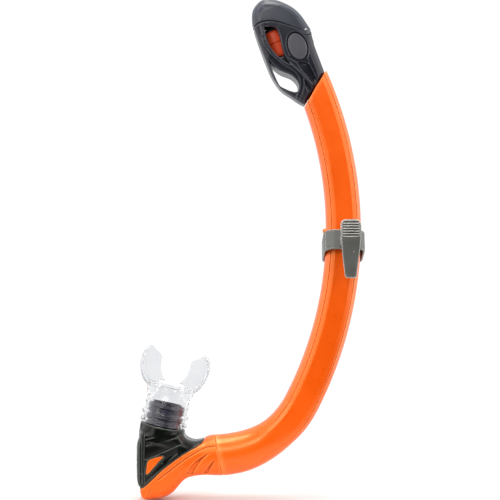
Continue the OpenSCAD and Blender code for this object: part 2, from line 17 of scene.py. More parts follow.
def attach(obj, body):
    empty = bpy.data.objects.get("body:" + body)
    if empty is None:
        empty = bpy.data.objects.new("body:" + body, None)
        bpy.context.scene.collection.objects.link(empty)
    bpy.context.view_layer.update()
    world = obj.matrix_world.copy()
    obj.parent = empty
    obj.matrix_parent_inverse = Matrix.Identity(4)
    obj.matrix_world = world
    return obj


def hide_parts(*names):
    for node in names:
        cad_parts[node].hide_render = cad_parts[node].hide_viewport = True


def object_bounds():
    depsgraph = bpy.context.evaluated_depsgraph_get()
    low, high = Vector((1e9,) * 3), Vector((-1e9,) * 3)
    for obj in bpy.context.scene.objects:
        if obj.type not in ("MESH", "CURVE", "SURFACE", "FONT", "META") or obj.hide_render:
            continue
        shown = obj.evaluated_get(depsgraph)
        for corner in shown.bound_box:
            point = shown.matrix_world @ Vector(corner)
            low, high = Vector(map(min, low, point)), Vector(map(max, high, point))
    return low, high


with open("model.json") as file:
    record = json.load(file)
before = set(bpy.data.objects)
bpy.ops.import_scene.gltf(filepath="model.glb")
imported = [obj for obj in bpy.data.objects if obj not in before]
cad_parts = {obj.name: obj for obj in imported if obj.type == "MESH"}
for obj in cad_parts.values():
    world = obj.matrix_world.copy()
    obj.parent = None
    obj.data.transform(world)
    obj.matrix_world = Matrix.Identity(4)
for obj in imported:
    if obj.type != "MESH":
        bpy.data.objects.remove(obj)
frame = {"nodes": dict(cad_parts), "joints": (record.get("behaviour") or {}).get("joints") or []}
cad_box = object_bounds()
joints = {j["name"]: j for j in frame["joints"]}

MM = 0.001
STEP = 0.45  # spacing of the sample points
WIDE_STEP = 0.5  # the same on the head and the mouthpiece


# ---- frames ----

def joint_point(name):
    """A joint's place, in millimetres."""
    return np.array(joints[name]["pos_m"]) / MM


def leaning_frame(origin, up):
    """Matrix of a frame whose third axis is up and whose second is +Y."""
    up = Vector(up).normalized()
    side = Vector((0, 1, 0)).cross(up)
    rows = Matrix((side, Vector((0, 1, 0)), up)).transposed()
    return Matrix.Translation(origin) @ rows.to_4x4()


def heading(angle):
    """Unit vector in the XZ plane, at an angle from +X towards +Z."""
    return np.array([math.cos(angle), 0, math.sin(angle)])


HEAD_PIN = (10.3, 50)  # cap pin in the head's frame
NECK_UP = Vector(joints["mouthpiece_turn"]["axis"])
HEAD_UP = Vector(joints["float_rise"]["axis"])
PIN_OFFSET = leaning_frame((0, 0, 0), HEAD_UP) @ Vector((HEAD_PIN[0], 0, HEAD_PIN[1]))
HEAD = leaning_frame(Vector(joint_point("cap_hinge")) - PIN_OFFSET, HEAD_UP)
NECK = leaning_frame((0, 0, 0), NECK_UP)
WORLD = Matrix.Identity(4)

ARC_CENTRE = joint_point("clip_along_tube")
UPPER_R = 329.5  # the tube's long arc
BEND_R = 85  # the bend at its lower end
ARC_JOINT = math.radians(-27.4)  # where the arc meets the bend
TUBE_END = math.radians(-88.1)  # where the bend meets the lower shell
BEND_CENTRE = ARC_CENTRE + (UPPER_R - BEND_R) * heading(ARC_JOINT)
END_AT = BEND_CENTRE + BEND_R * heading(TUBE_END)
DUCT_SLOPE = math.radians(5.5)  # of the tube's lower spigot
SEAM_SLOPE = math.radians(10.5)  # of the seam between tube and lower shell
SLEEVE_SLOPE = math.radians(37)  # of the head's lower edge, in the head's frame
HEAD_LEAN = math.radians(21)  # of the head's frame
DUCT = leaning_frame(END_AT, -heading(DUCT_SLOPE))


# ---- curves and distances ----

def curve(points, steps=6, closed=False):
    """Catmull-Rom curve through the points."""
    p = np.array(points, float)
    p = np.concatenate([p[-1:], p, p[:2]] if closed else [p[:1], p, p[-1:]])
    t = np.linspace(0, 1, steps, endpoint=False)[:, None]
    out = [0.5 * (2 * b + (c - a) * t + (2 * a - 5 * b + 4 * c - d) * t ** 2
                  + (3 * b - a - 3 * c + d) * t ** 3)
           for a, b, c, d in zip(p, p[1:], p[2:], p[3:])]
    if not closed:
        out.append(p[-1:])
    return np.concatenate(out)


def to_segment(a, b, x, z):
    """Squared distance to the segment from a to b, and the nearest point's share of it."""
    ex, ez = b[0] - a[0], b[1] - a[1]
    length = max(ex * ex + ez * ez, 1e-12)
    t = np.clip(((x - a[0]) * ex + (z - a[1]) * ez) / length, 0, 1)
    return (x - a[0] - t * ex) ** 2 + (z - a[1] - t * ez) ** 2, t


def inside_distance(outline, x, z):
    """Signed distance to a closed outline, negative inside."""
    x, z = np.broadcast_arrays(x, z)
    best = np.full(x.shape, np.inf)
    inside = np.zeros(x.shape, bool)
    for a, b in zip(outline, np.roll(outline, -1, axis=0)):
        best = np.minimum(best, to_segment(a, b, x, z)[0])
        if a[1] != b[1]:
            crosses = (a[1] > z) != (b[1] > z)
            inside ^= crosses & (x < (b[0] - a[0]) * (z - a[1]) / (b[1] - a[1]) + a[0])
    return np.where(inside, -1, 1) * np.sqrt(best)


def line_distance(line, x, z):
    """Distance to an open line, and how far along it the nearest point is, 0 to 1."""
    x, z = np.broadcast_arrays(x, z)
    best = np.full(x.shape, np.inf)
    along = np.zeros(x.shape)
    steps = len(line) - 1
    for i in range(steps):
        d, t = to_segment(line[i], line[i + 1], x, z)
        nearer = d < best
        best = np.where(nearer, d, best)
        along = np.where(nearer, (i + t) / steps, along)
    return np.sqrt(best), along


def join(a, b, k=0.01):
    """Union of two fields, rounded over about k millimetres."""
    h = np.maximum(k - np.abs(a - b), 0) / k
    return np.minimum(a, b) - h * h * k / 4


def common(a, b, k=0.01):
    """Intersection of two fields, rounded the same way."""
    return -join(-a, -b, k)


def cut(a, b, k=0.01):
    """The first field without the second, rounded the same way."""
    return -join(-a, b, k)


def smooth_step(low, high, v):
    """Rises softly from 0 at low to 1 at high."""
    t = np.clip((v - low) / (high - low), 0, 1)
    return t * t * (3 - 2 * t)


def corner(a, b, radius):
    """Inside of two fields that each stand back by the radius, with a round corner."""
    return (np.minimum(np.maximum(a, b), 0)
            + np.hypot(np.maximum(a, 0), np.maximum(b, 0)) - radius)


def slab(flat, y, half, radius):
    """Outline field made a body of the given half depth with rounded edges."""
    return corner(flat + radius, np.abs(y) - (half - radius), radius)


def rounded_box(a, b, half_a, half_b, radius):
    """Rectangle with round corners."""
    return corner(np.abs(a) - half_a + radius, np.abs(b) - half_b + radius, radius)


def rod(a, b, at, radius):
    """Endless cylinder across the plane of a and b."""
    return np.hypot(a - at[0], b - at[1]) - radius


def drum(a, b, radius, along, middle, half):
    """Cylinder about a = b = 0 that ends the same distance either side of middle."""
    return np.maximum(np.hypot(a, b) - radius, np.abs(along - middle) - half)


def faded(along, ends):
    """1 along a line, falling to 0 over a share of it at both ends."""
    return smooth_step(0, ends, along) * smooth_step(0, ends, 1 - along)


def ridge(line, x, z, width, ends):
    """A soft line, 1 along its crest, fading out towards both ends."""
    d, along = line_distance(line, x, z)
    return np.exp(-(d / width) ** 2) * faded(along, ends)


def raised_band(line, x, z, half, soft, ends):
    """A flat-topped strip along a line, 1 on its top, fading out towards both ends."""
    d, along = line_distance(line, x, z)
    return (1 - smooth_step(half - soft, half + soft, d)) * faded(along, ends)


def eased(z, levels, values):
    """Value at z along a line of points, with its corners eased over 6 mm."""
    shifts = np.arange(-3, 3.5, 0.5)
    return sum(np.interp(z + shift, levels, values) for shift in shifts) / len(shifts)


def samples(low, high, step=STEP):
    """Sample coordinates of a box, shaped so that they broadcast."""
    axes = [np.arange(a, b + step, step, dtype=np.float32) for a, b in zip(low, high)]
    return np.meshgrid(*axes, indexing="ij", sparse=True)


# ---- meshes ----

RELAX_ROUNDS = 3
AXIS_R = 0.02  # stands for 0 where a turned profile meets its axis


def linked(name, data):
    """A new object in the scene."""
    obj = bpy.data.objects.new(name, data)
    bpy.context.scene.collection.objects.link(obj)
    return obj


def finish_mesh(name, points, faces, place, smooth_angle=None):
    """A Blender object from points in millimetres in the frame place."""
    matrix = np.array(place)
    p = np.asarray(points, float) @ matrix[:3, :3].T + matrix[:3, 3]
    mesh = bpy.data.meshes.new(name)
    mesh.from_pydata((p * MM).tolist(), [], [list(map(int, f)) for f in faces])
    mesh.validate()
    mesh.update()
    mesh.shade_smooth()
    if smooth_angle:
        mesh.set_sharp_from_angle(angle=math.radians(smooth_angle))
    return linked(name, mesh)


def signed_volume(points, faces):
    """Positive when the faces of a closed mesh point outwards, up to a factor."""
    tri = np.array([(f[0], f[i], f[i + 1]) for f in faces for i in range(1, len(f) - 1)])
    a, b, c = points[tri[:, 0]], points[tri[:, 1]], points[tri[:, 2]]
    return np.einsum("ij,ij->i", a, np.cross(b, c)).sum()


def relax(points, faces):
    """Evens out a dense mesh without shrinking it, by steps in and slightly longer ones out."""
    pairs = np.concatenate([faces[:, [i, (i + 1) % 4]] for i in range(4)])
    pairs = np.unique(np.sort(pairs, axis=1), axis=0)
    count = np.bincount(pairs.ravel(), minlength=len(points))[:, None]
    for weight in (0.5, -0.52) * RELAX_ROUNDS:
        total = np.zeros_like(points)
        for a, b in ((0, 1), (1, 0)):
            for axis in range(3):
                total[:, axis] += np.bincount(
                    pairs[:, a], points[pairs[:, b], axis], len(points))
        points = points + weight * (total / np.maximum(count, 1) - points)
    return points


def from_field(name, field, low, place, step=STEP):
    """Meshes the zero surface of a field sampled from the corner low."""
    limit = 3 * step
    grid = openvdb.FloatGrid(limit)
    grid.copyFromArray(np.ascontiguousarray(np.clip(field, -limit, limit), dtype=np.float32))
    points, _, quads = grid.convertToPolygons(isovalue=0.0, adaptivity=0.0)
    points = relax(points.astype(float), quads) * step + np.array(low)
    if signed_volume(points, quads[:, :4]) < 0:
        quads = quads[:, ::-1]
    return finish_mesh(name, points, quads, place)


def loft(name, rings, place=WORLD, closed=True, smooth_angle=None):
    """Skins a chain of rings; a closed chain joins its last ring to its first."""
    n = len(rings[0])
    points = np.concatenate(rings)
    faces = []
    spans = len(rings) if closed else len(rings) - 1
    for i in range(spans):
        a, b = i * n, ((i + 1) % len(rings)) * n
        faces += [(a + j, a + (j + 1) % n, b + (j + 1) % n, b + j) for j in range(n)]
    if not closed:
        last = len(points) - n
        faces += [list(range(n))[::-1], list(range(last, last + n))]
    if signed_volume(points, faces) < 0:
        faces = [f[::-1] for f in faces]
    return finish_mesh(name, points, faces, place, smooth_angle)


def turned(name, profile, place, segments=96, closed=True, axis="z"):
    """Turns a profile of (radius, height) points about the frame's third or second axis."""
    angles = np.linspace(0, 2 * math.pi, segments, endpoint=False)
    rings = []
    for r, h in profile:
        ring = np.stack([r * np.cos(angles), r * np.sin(angles), np.full(segments, h)], 1)
        rings.append(ring[:, [0, 2, 1]] if axis == "y" else ring)
    return loft(name, rings, place, closed, smooth_angle=30)


def settle(obj, body, slot, material, *replaced):
    """Gives a piece its body and material and hides the CAD nodes it stands for; the slot is not
    used.
    """
    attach(obj, body)
    obj.data.materials.clear()
    obj.data.materials.append(material)
    for node in replaced:
        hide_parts(node)


# ---- materials ----

def nodes_for(name):
    """A new material, its node tree and its shader."""
    material = bpy.data.materials.new(name)
    material.use_nodes = True
    tree = material.node_tree
    return material, tree, tree.nodes["Principled BSDF"]


def feed(node, inputs):
    """Links inputs of a node to other sockets, or sets their values."""
    for name, value in inputs.items():
        socket = node.inputs[name]
        if isinstance(value, bpy.types.NodeSocket):
            node.id_data.links.new(value, socket)
        else:
            socket.default_value = (*value, 1) if socket.type == "RGBA" else value


def add(tree, kind, inputs=None, **settings):
    """A new shader node with its settings and inputs."""
    node = tree.nodes.new("ShaderNode" + kind)
    for name, value in settings.items():
        setattr(node, name, value)
    feed(node, inputs or {})
    return node


def noise(tree, scale, detail):
    """Noise fixed to the piece, as a factor."""
    place = add(tree, "TexCoord").outputs["Object"]
    return add(tree, "TexNoise", {"Vector": place, "Scale": scale, "Detail": detail,
                                  "Roughness": 0.55}).outputs["Fac"]


def spread(tree, value, low, high, from_low=0.35, from_high=0.65):
    """Maps a factor to a range."""
    inputs = {"Value": value, "From Min": from_low, "From Max": from_high,
              "To Min": low, "To Max": high}
    return add(tree, "MapRange", inputs).outputs["Result"]


MIX_A, MIX_B, MIX_RESULT = 6, 7, 2  # colour sockets of the mix node


def blended(tree, factor, a, b):
    """Mixes two colours, given as tuples or as sockets."""
    inputs = {"Factor": factor, MIX_A: a, MIX_B: b}
    return add(tree, "Mix", inputs, data_type="RGBA").outputs[MIX_RESULT]


def bump(tree, height, strength, depth):
    """Normal of a relief, whose depth is in millimetres."""
    inputs = {"Height": height, "Strength": strength, "Distance": depth * MM}
    return add(tree, "Bump", inputs).outputs["Normal"]


def by_pointiness(tree, low, high, from_low, from_high):
    """Maps how convex the surface is, 0.5 where it is flat, to a range."""
    pointiness = add(tree, "NewGeometry").outputs["Pointiness"]
    return spread(tree, pointiness, low, high, from_low, from_high)


def plastic(name, colour, highlight_colour, rough, grain, grain_depth, coat=0, mottle=0.12,
            coat_rough=0.08, specular=0.5, edge=0.35, hollow_shade=0.5, tint=(1, 1, 1)):
    """Moulded plastic: fine grain, soft mottling, uneven gloss, a painted highlight along convex
    edges and painted shade in hollows.
    """
    material, tree, shader = nodes_for(name)
    cloud = noise(tree, 38, 3)
    speck = noise(tree, grain, 2)
    darker = tuple(c * (1 - mottle) for c in colour)
    lighter = tuple(min(c * (1 + mottle), 1) for c in colour)
    base = blended(tree, spread(tree, cloud, 0, 1), darker, lighter)
    # painted highlight: convex edges are lightened towards the highlight colour, standing in for
    # light caught by sharp edges
    edge_highlight = by_pointiness(tree, 0, edge, 0.506, 0.525)
    # painted shade: concave hollows and grooves are darkened towards a quarter of the colour
    hollow = by_pointiness(tree, hollow_shade, 0, 0.472, 0.494)
    base = blended(tree, hollow, base, tuple(0.25 * c for c in colour))
    feed(shader, {"Base Color": blended(tree, edge_highlight, base, highlight_colour),
                  "Roughness": spread(tree, cloud, rough - 0.05, rough + 0.06),
                  "Coat Weight": coat, "Coat Roughness": coat_rough,
                  "Specular IOR Level": specular, "Specular Tint": tint,
                  "Normal": bump(tree, speck, 0.35, grain_depth)})
    return material


# the second colour of each plastic is its painted edge highlight
head_grey = plastic("head_plastic", (0.017, 0.018, 0.028), (0.13, 0.14, 0.17),
                    0.26, 2600, 0.010, specular=0.30)
cap_grey = plastic("cap_plastic", (0.046, 0.051, 0.070), (0.14, 0.15, 0.18),
                   0.30, 2600, 0.012, specular=0.32)
disc_grey = plastic("disc_plastic", (0.060, 0.062, 0.080), (0.15, 0.16, 0.2),
                    0.50, 1800, 0.06)
elbow_black = plastic("elbow_plastic", (0.0028, 0.0038, 0.0030), (0.16, 0.19, 0.17),
                      0.17, 2400, 0.006, specular=0.28)
swivel_grey = plastic("swivel_plastic", (0.014, 0.013, 0.030), (0.12, 0.12, 0.17),
                      0.22, 2400, 0.006, specular=0.22)
clip_grey = plastic("clip_plastic", (0.105, 0.110, 0.106), (0.50, 0.50, 0.48),
                    0.36, 1500, 0.04)
# the lever's edges get a strong painted highlight and its finger grooves deep painted shade
lever_grey = plastic("lever_plastic", (0.110, 0.114, 0.110), (0.62, 0.61, 0.58),
                     0.34, 1500, 0.04, edge=0.85, hollow_shade=0.9)


def orange(name, coat, hollow_shade):
    """The orange of the tube and the shell, with its warm gloss."""
    return plastic(name, (0.95, 0.108, 0.002), (1, 0.36, 0.10), 0.32, 900, 0.01, coat=coat,
                   mottle=0.04, coat_rough=0.12, specular=0.95, hollow_shade=hollow_shade,
                   tint=(1, 0.78, 0.32))


# painted shade in hollows is light on the tube and strong on the shell's leaves and grooves
tube_orange = orange("tube_plastic", 0.12, 0.22)
shell_orange = orange("shell_plastic", 0, 0.7)
float_red = plastic("float_plastic", (1, 0.055, 0.006), (1, 0.2, 0.08),
                    0.34, 1200, 0.04, mottle=0.10, specular=0.25)


def rubber(name, colour):
    """Matt rubber with a dusty grain."""
    material, tree, shader = nodes_for(name)
    cloud = noise(tree, 120, 4)
    base = blended(tree, spread(tree, cloud, 0, 1), colour, tuple(c * 1.5 for c in colour))
    feed(shader, {"Base Color": base, "Roughness": spread(tree, cloud, 0.6, 0.75),
                  "Normal": bump(tree, noise(tree, 1600, 2), 0.4, 0.06)})
    return material


def steel(name):
    """Bright steel with fine scratches."""
    material, tree, shader = nodes_for(name)
    brush = noise(tree, 900, 3)
    base = blended(tree, spread(tree, brush, 0, 1), (0.52, 0.53, 0.54), (0.68, 0.68, 0.67))
    feed(shader, {"Base Color": base, "Roughness": spread(tree, brush, 0.22, 0.4),
                  "Metallic": 1, "Normal": bump(tree, brush, 0.2, 0.02)})
    return material


def clear_silicone(name):
    """Clear silicone, frosted on the bite tabs, with painted shade greying its rims."""
    material, tree, shader = nodes_for(name)
    cloud = noise(tree, 60, 3)
    base = blended(tree, spread(tree, cloud, 0, 1), (0.96, 0.965, 0.97), (0.92, 0.925, 0.935))
    # painted shade: convex rims are greyed in place of the dark outlines a clear moulding shows
    rim = by_pointiness(tree, 0, 0.8, 0.512, 0.56)
    place = add(tree, "TexCoord").outputs["Object"]
    height = add(tree, "VectorMath", {0: place, 1: NECK_UP}, operation="DOT_PRODUCT")
    frost = spread(tree, height.outputs["Value"], 0.08, 0.45, -0.002, 0.010)
    feed(shader, {"Base Color": blended(tree, rim, base, (0.60, 0.60, 0.63)),
                  "Roughness": frost, "Transmission Weight": 1, "IOR": 1.18,
                  "Coat Weight": 0.5, "Coat Roughness": 0.2})
    return material


silicone = clear_silicone("silicone")
seal_rubber = rubber("seal_rubber", (0.018, 0.018, 0.02))
bright_steel = steel("steel")


# ---- tube ----

TUBE_W, TUBE_D = 15.2, 14  # half width and depth
END_W, END_D = 18, 16.5  # the same at the lower seam


def filleted(corners, radius, steps=4):
    """Open line through the corners, with small arcs in place of the inner ones."""
    p = np.array(corners, float)
    out = [p[0]]
    for a, b, c in zip(p[:-2], p[1:-1], p[2:]):
        u, w = a - b, c - b
        reach = min(radius, 0.45 * np.linalg.norm(u), 0.45 * np.linalg.norm(w))
        start = b + u / np.linalg.norm(u) * reach
        end = b + w / np.linalg.norm(w) * reach
        for t in np.linspace(0, 1, steps):
            out.append((1 - t) ** 2 * start + 2 * t * (1 - t) * b + t * t * end)
    out.append(p[-1])
    return np.array(out)


def divided(line, longest):
    """The same line with its long steps divided."""
    out = [line[:1]]
    for a, b in zip(line[:-1], line[1:]):
        n = max(1, math.ceil(np.linalg.norm(b - a) / longest))
        out.append(a + (b - a) * np.linspace(0, 1, n + 1)[1:, None])
    return np.concatenate(out)


def tube_outline():
    """Flat front and back, two bevels with a fine line between them, soft sides."""
    bevel = filleted([(0, 14), (7.3, 14), (10.7, 12.6), (11.05, 11.55), (11.5, 12.2),
                      (14.3, 8.4), (15.2, 4.6), (15.2, 0)], 0.6)
    flat = np.linspace((0, 14), bevel[1], 5)[:-1]
    quarter = divided(np.concatenate([flat, bevel[1:]]), 1.1)
    right = np.concatenate([quarter, quarter[-2::-1] * (1, -1)])
    left = right[-2:0:-1] * (-1, 1)
    return np.concatenate([right, left])


def oval(around, a, b):
    """Ellipse with the half axes a and b, at the given angles."""
    r = 1 / np.hypot(np.cos(around) / a, np.sin(around) / b)
    return np.stack([r * np.cos(around), r * np.sin(around)], 1)


def seam_angle(centre, normal, point, radius, sign):
    """Angle at which circles about the centre meet a plane."""
    reach = np.dot(normal, point - centre) / radius
    return math.atan2(normal[2], normal[0]) + sign * np.arccos(reach)


def across_arc(centre, radius, angle, section):
    """A section set across an arc, at one angle or at one for each point."""
    r = radius + section[:, 0]
    angle = np.broadcast_to(angle, r.shape)
    return np.stack([centre[0] + r * np.cos(angle), section[:, 1],
                     centre[2] + r * np.sin(angle)], 1)


def round_ring(matrix, x, r, z, around, plane=None):
    """Ring about a frame's third axis at z, or slid along that axis to a plane."""
    m = np.array(matrix)
    ring = np.stack([x + r * np.cos(around), r * np.sin(around), np.full(len(around), z)], 1)
    p = ring @ m[:3, :3].T + m[:3, 3]
    if plane is None:
        return p
    normal, point = plane
    axis = m[:3, 2]
    return p + np.outer((point - p) @ normal / (axis @ normal), axis)


def bend_section(section, around, angle):
    """The tube's section on the bend, where it widens and turns into an oval."""
    widening = smooth_step(math.radians(-46), math.radians(-80), angle)
    rounding = smooth_step(math.radians(-34), math.radians(-66), angle)
    w, d = TUBE_W + (END_W - TUBE_W) * widening, TUBE_D + (END_D - TUBE_D) * widening
    return ((1 - rounding) * section * (w / TUBE_W, d / TUBE_D)
            + rounding * oval(around, w, d))


# radius and height of each ring, from the seam to the bore
UPPER_SPIGOT_X = 2
UPPER_SPIGOT = [(9.9, 17.4), (8.7, 17.5), (8.7, 18.6), (9.9, 18.7), (9.9, 23.4), (9.4, 24),
                (7.8, 24), (7.8, -12)]
# the same from the bore to the seam
LOWER_SPIGOT = [(10, -2), (10, 16), (11.4, 16), (11.9, 15.4), (11.9, 9.7), (10.7, 9.6),
                (10.7, 8.4), (11.9, 8.3)]
BORE = (13.2, 11.9)


def tube_rings():
    """Rings up the outside, in through the upper spigot, down the bore and out below."""
    section = tube_outline()
    around = np.arctan2(section[:, 1], section[:, 0])
    tilt = HEAD_LEAN + SLEEVE_SLOPE
    top_normal = np.array([-math.sin(tilt), 0, math.cos(tilt)])
    top_at = np.array(HEAD.translation) - 0.25 * top_normal
    end_normal = -heading(SEAM_SLOPE)

    # lower edge, with a small chamfer
    rings = []
    edge_turn = 0.008
    end_section = bend_section(section, around, TUBE_END)
    end_angle = seam_angle(BEND_CENTRE, end_normal, END_AT, BEND_R + end_section[:, 0], 1)
    for turn, scale in ((0, 0.975), (0.5 * edge_turn, 0.988), (edge_turn, 1)):
        rings.append(across_arc(BEND_CENTRE, BEND_R, end_angle + turn, end_section * scale))
    for t in np.linspace(0.04, 1, 44):
        angle = end_angle + edge_turn + (ARC_JOINT - end_angle - edge_turn) * t
        mean = TUBE_END + (ARC_JOINT - TUBE_END) * t
        rings.append(across_arc(BEND_CENTRE, BEND_R, angle,
                                bend_section(section, around, mean)))
    # the long arc draws in slightly towards the head
    top_angle = seam_angle(ARC_CENTRE, top_normal, top_at, UPPER_R + section[:, 0], -1)
    for t in np.linspace(0.015, 1, 70):
        scale = 1 - 0.02 * smooth_step(0.45, 1, t)
        angle = ARC_JOINT + (top_angle - ARC_JOINT - 0.002) * t
        rings.append(across_arc(ARC_CENTRE, UPPER_R - 0.3 * t, angle, section * scale))
    for turn, scale in ((0.0007, 0.975), (0, 0.955)):
        rings.append(across_arc(ARC_CENTRE, UPPER_R - 0.3, top_angle - turn, section * scale))
    rings.append(round_ring(HEAD, UPPER_SPIGOT_X, UPPER_SPIGOT[0][0], 0, around,
                            (top_normal, top_at)))
    rings += [round_ring(HEAD, UPPER_SPIGOT_X, r, z, around) for r, z in UPPER_SPIGOT]
    # bore, down the arc and round the bend
    bore = oval(around, *BORE)
    for t in np.linspace(0.92, 0.02, 40):
        angle = ARC_JOINT + (top_angle.mean() - ARC_JOINT) * t
        rings.append(across_arc(ARC_CENTRE, UPPER_R, angle, bore))
    for t in np.linspace(0.98, 0.06, 26):
        angle = TUBE_END + (ARC_JOINT - TUBE_END) * t
        rings.append(across_arc(BEND_CENTRE, BEND_R, angle, bore))
    # the lower spigot's frame has its first axis up, so it is mirrored
    foot = DUCT @ Matrix.Diagonal((-1, 1, 1, 1))
    rings += [round_ring(foot, 0, r, z, around) for r, z in LOWER_SPIGOT]
    rings.append(round_ring(foot, 0, LOWER_SPIGOT[-1][0], 0, around, (end_normal, END_AT)))
    return rings


settle(loft("tube", tube_rings(), smooth_angle=28), "snorkel", "tube_orange",
       tube_orange, "main_tube")

PEG = [(2.5, -1), (2.35, 0.6), (2.2, 1.8), (1.9, 2.6), (1.2, 3.05), (AXIS_R, 3.15)]
PEG_OUT = heading(math.radians(-0.1))
PEG_FRAME = leaning_frame(ARC_CENTRE + (UPPER_R - TUBE_W) * PEG_OUT, -PEG_OUT)
settle(turned("peg", PEG, PEG_FRAME, closed=False), "snorkel", "tube_orange", tube_orange)


# ---- dry top ----

HEAD_OUTLINE = curve([
    (-13.6, -9.9), (-17.5, -5.2), (-21.6, 0.8), (-28, 10.3), (-31.1, 22), (-31.8, 35),
    (-31.8, 49), (-31.4, 62.5), (-30.2, 74.5), (-26.5, 83.2), (-19.8, 88), (-13, 89.1),
    (-6, 86.2), (0.4, 81), (7, 73.3), (11, 65.2), (13.1, 57.3), (14.7, 48.8),
    (13.9, 43), (13.1, 35), (13.1, 23), (13.2, 9.6)], 5)
CAP_SEAM = curve([(-36, 67.4), (-31.5, 68.6), (-27, 69.8), (-21, 69.6), (-14.6, 67.6),
                  (-7.7, 63.5), (-0.8, 57.8), (5.1, 52.6), (9.5, 49.5), (16, 48.6),
                  (30, 46.5)], 5)
UPPER_WINDOW = curve([
    (-18.5, 64.6), (-21.9, 66.1), (-24, 58.2), (-24.2, 48.4), (-21.9, 40), (-17.7, 32.2),
    (-13.4, 27.3), (-15, 34.6), (-14.6, 43.5), (-13.2, 53.3), (-13.6, 60.2)], 5, True)
LOWER_WINDOW = curve([
    (-29.2, 37.6), (-27.3, 31.9), (-22.5, 24.4), (-15.6, 17.9), (-12.5, 11), (-13.2, 5.6),
    (-16, 2.8), (-20.5, 5.1), (-24.6, 9.1), (-27.5, 12.8), (-28.5, 17), (-29.1, 24.8)], 5, True)
RIB = curve([(-26.3, 59), (-25.8, 51), (-23.3, 41), (-17.5, 30), (-10.9, 21.7),
             (-8.4, 14.5), (-9.3, 8), (-14.6, 0.1), (-19.6, -6.3)], 6)
SMALL_RIB = curve([(-13.1, 27.5), (-10.1, 21.8), (-6.7, 15.3), (-3.7, 8.6), (-0.5, 2.6)], 6)
EDGE_BAR = curve([(-29.2, 61), (-29.5, 53), (-29.7, 40), (-29.3, 25), (-25.5, 12),
                  (-20, 3), (-13, -6)], 6)
CHANNEL = curve([(-6.4, 26.3), (1.3, 22.6), (2.9, 14), (3.7, 4.9), (0.2, 3),
                 (-2.6, 11), (-5.4, 18.7)], 4, True)
NOTCH = curve([(-6.8, 10.7), (-4.4, 5.6), (-2.6, 0.8), (-5.4, -3.1), (-7.1, 1.3)], 4, True)
DISC_AT = (-1.7, 39.2)
DISC_HALF = (8, 11.8)
KNUCKLE_R = 4.3
KNUCKLE_HALF = 9  # of the cage's knuckle, along the pin
PIN_HOLE_R = 1.5
SEAM_GAP = 0.25  # either side of the seam
FLOAT_AT = -16.2
FLOAT_LOW = 37
FLOAT_CHAMBER_R = 10.2
CAP_WALL = 2


def ellipse_distance(x, z, at, half):
    """Close to the distance from an ellipse, near its edge."""
    u, w = (x - at[0]) / half[0], (z - at[1]) / half[1]
    k = np.hypot(u, w)
    return (k - 1) * k / np.maximum(np.hypot(u / half[0], w / half[1]), 1e-6)


def seam_distance(h, v):
    """Above the seam between cage and cap is positive."""
    return (v - np.interp(h, CAP_SEAM[:, 0], CAP_SEAM[:, 1])) * 0.85


def head_relief(h, v):
    """What stands proud of the head's sides, less what is sunk into them."""
    out = 1.3 * raised_band(RIB, h, v, 2.4, 0.6, 0.08)
    out = out + 0.9 * raised_band(SMALL_RIB, h, v, 0.8, 0.5, 0.1)
    out = out + 0.6 * raised_band(EDGE_BAR, h, v, 1.7, 0.6, 0.1)
    for outline, depth in ((CHANNEL, 2.7), (NOTCH, 1.6)):
        out = out - depth * (1 - smooth_step(-0.8, 0.2, inside_distance(outline, h, v)))
    # teardrop recess round the disc, with its point towards the tube
    moat = ellipse_distance(h, v, DISC_AT, (DISC_HALF[0] + 1.4, DISC_HALF[1] + 1.5))
    point = np.maximum((h - 2.6) * 0.97 + (v - 22.4) * 0.05,
                       (h + 9) * -0.75 - (v - 30) * 0.66 - 1)
    point = np.maximum(point, 22.2 - v)
    moat = join(moat, np.maximum(point, v - 34), 2)
    out = out - 1.7 * (1 - smooth_step(-1, 0.1, moat))
    out = np.maximum(out, -2.9) * smooth_step(1.5, 5, 0.8 * v - 0.6 * h)
    # the outer side slopes back from a soft crease
    return out - 0.42 * np.maximum(h - 6.5 + 0.02 * v, 0) * (1 - smooth_step(44, 52, v))


def head_space(h, y, v, shrink=0, relief=0):
    """The whole head as one body, before cage and cap are parted."""
    flat = inside_distance(HEAD_OUTLINE, h, v)
    half = np.interp(v, (-14, 5, 20, 40, 60, 78, 90),
                     (13.9, 14.3, 15.8, 17.2, 17.5, 17.2, 16)) - shrink
    radius = np.interp(v, (-14, 10, 40, 62, 84), (7.5, 7, 6.5, 7.5, 9.5)) - 0.6 * shrink
    return slab(flat + shrink, y, half + relief, radius)


